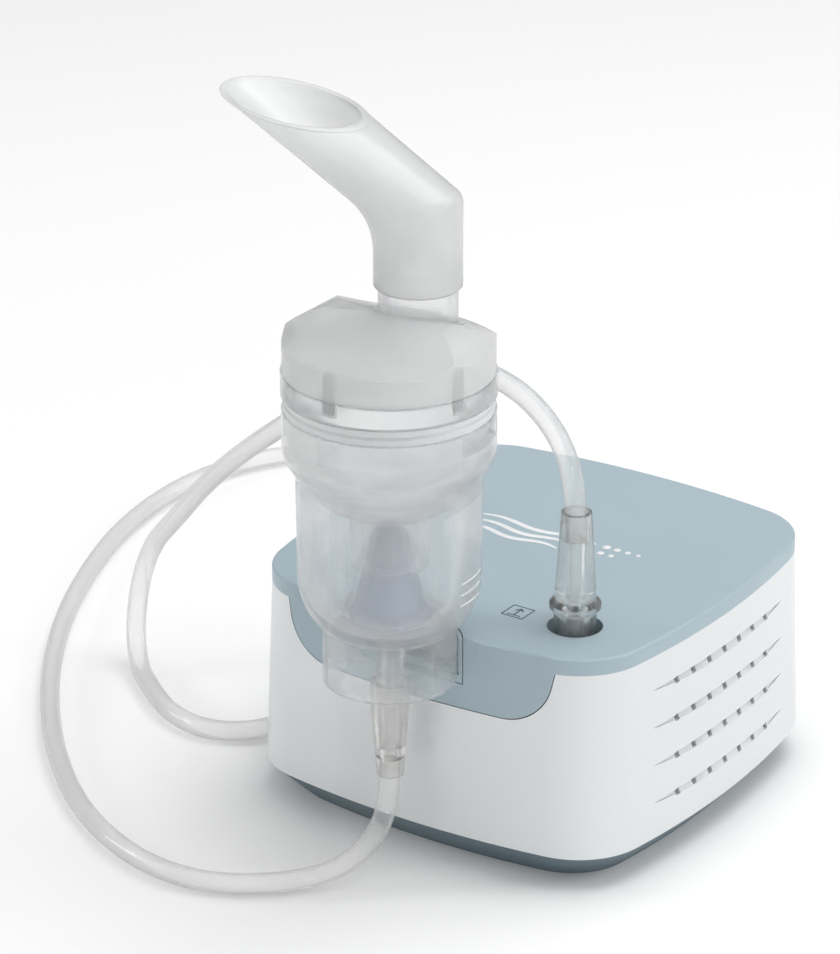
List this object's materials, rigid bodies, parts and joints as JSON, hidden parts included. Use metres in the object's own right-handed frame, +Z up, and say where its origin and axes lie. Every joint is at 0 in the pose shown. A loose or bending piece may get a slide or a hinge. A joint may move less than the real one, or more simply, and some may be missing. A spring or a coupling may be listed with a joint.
{
  "type": "tabletop nebulizer",
  "caption": "Square tabletop air compressor with a clear medicine cup in its front cradle, a swivelling bent mouthpiece and a clear air tube.",
  "frame": {"origin": "centre of the compressor's footprint, on the surface it stands on", "axes": "+Z up, front with the cup faces -Y, +X to the right seen from the front"},
  "size_m": [0.2742, 0.2857, 0.2173],
  "materials": {
    "cover_blue": "satin moulded plastic",
    "tray_blue": "satin moulded plastic",
    "shell_white": "pearl gloss moulded plastic",
    "cup_clear": "clear, slightly milky plastic",
    "mouth_clear": "frosted clear plastic",
    "baffle_tint": "pale blue clear plastic",
    "connector_clear": "clear soft plastic",
    "tube_clear": "clear soft plastic tubing",
    "black_plastic": "fine-textured",
    "grey_plastic": "satin moulded plastic",
    "felt": "needled felt",
    "rubber_grey": "moulded rubber",
    "silicone_white": "translucent silicone",
    "hose_black": "extruded rubber",
    "wire_red": "wire insulation",
    "screw_steel": "machined",
    "sheet_steel": "stamped sheet",
    "copper_wire": "enamelled winding",
    "cast_alloy": "die cast"
  },
  "bodies": {
    "compressor": {"top_cover": "cover_blue", "cup_cradle": "cover_blue", "base_tray": "tray_blue", "body_shell": "shell_white", "outlet_connector": "connector_clear", "cup_connector": "connector_clear", "air_tube": "tube_clear", "power_inlet": "black_plastic", "switch_housing": "black_plastic", "filter_housing": "black_plastic", "silencer": "black_plastic", "thermal_cutout": "black_plastic", "outlet_nozzle": "grey_plastic", "filter_felt": "felt", "rubber_feet": "rubber_grey", "motor_mounts": "rubber_grey", "outlet_seal": "rubber_grey", "head_gasket": "rubber_grey", "pressure_hose": "hose_black", "intake_hose": "hose_black", "filter_hose": "hose_black", "wiring": "wire_red", "tray_screws": "screw_steel", "head_screws": "screw_steel", "inlet_pins": "screw_steel", "bearings": "screw_steel", "motor_bracket": "sheet_steel", "stator_core": "sheet_steel", "field_coil": "copper_wire", "cylinder": "cast_alloy", "cylinder_head": "cast_alloy", "valve_plate": "cast_alloy"},
    "handset": {"medicine_bowl": "cup_clear", "baffle_cone": "baffle_tint"},
    "handset_top": {"upper_housing": "cup_clear", "valve_membrane": "silicone_white", "bowl_seal": "silicone_white"},
    "cap": {"valve_cap": "cup_clear"},
    "mouthpiece": {"mouthpiece": "mouth_clear"},
    "rocker": {"switch_rocker": "black_plastic"},
    "filter_plug": {"filter_cap": "grey_plastic"},
    "rotor": {"motor_shaft": "screw_steel", "rotor_core": "sheet_steel", "cooling_fan": "grey_plastic", "eccentric_crank": "cast_alloy"},
    "piston": {"piston_rod": "cast_alloy", "piston_cup": "rubber_grey"}
  },
  "joints": [
    {"name": "handset_lift", "type": "slide", "parent": "compressor", "child": "handset", "axis": [0, 0, 1], "range_m": [0, 0.03]},
    {"name": "housing_twist", "type": "hinge", "parent": "handset", "child": "handset_top", "pos_m": [0, -0.0748, 0.14], "axis": [0, 0, -1], "range_deg": [0, 22]},
    {"name": "cap_lift", "type": "slide", "parent": "handset_top", "child": "cap", "axis": [0, 0, 1], "range_m": [0, 0.012]},
    {"name": "mouthpiece_swivel", "type": "hinge", "parent": "handset_top", "child": "mouthpiece", "pos_m": [0, -0.0608, 0.174], "axis": [0, 0, 1], "continuous": true},
    {"name": "switch_rock", "type": "hinge", "parent": "compressor", "child": "rocker", "pos_m": [0.002, 0.0642, 0.036], "axis": [-1, 0, 0], "range_deg": [0, 14]},
    {"name": "filter_cap_pull", "type": "slide", "parent": "compressor", "child": "filter_plug", "axis": [0, 1, 0], "range_m": [0, 0.012]},
    {"name": "rotor_spin", "type": "hinge", "parent": "compressor", "child": "rotor", "pos_m": [0, 0.014, 0.036], "axis": [1, 0, 0], "continuous": true},
    {"name": "piston_stroke", "type": "slide", "parent": "compressor", "child": "piston", "axis": [0, 1, 0], "range_m": [-0.0025, 0.0025]}
  ]
}
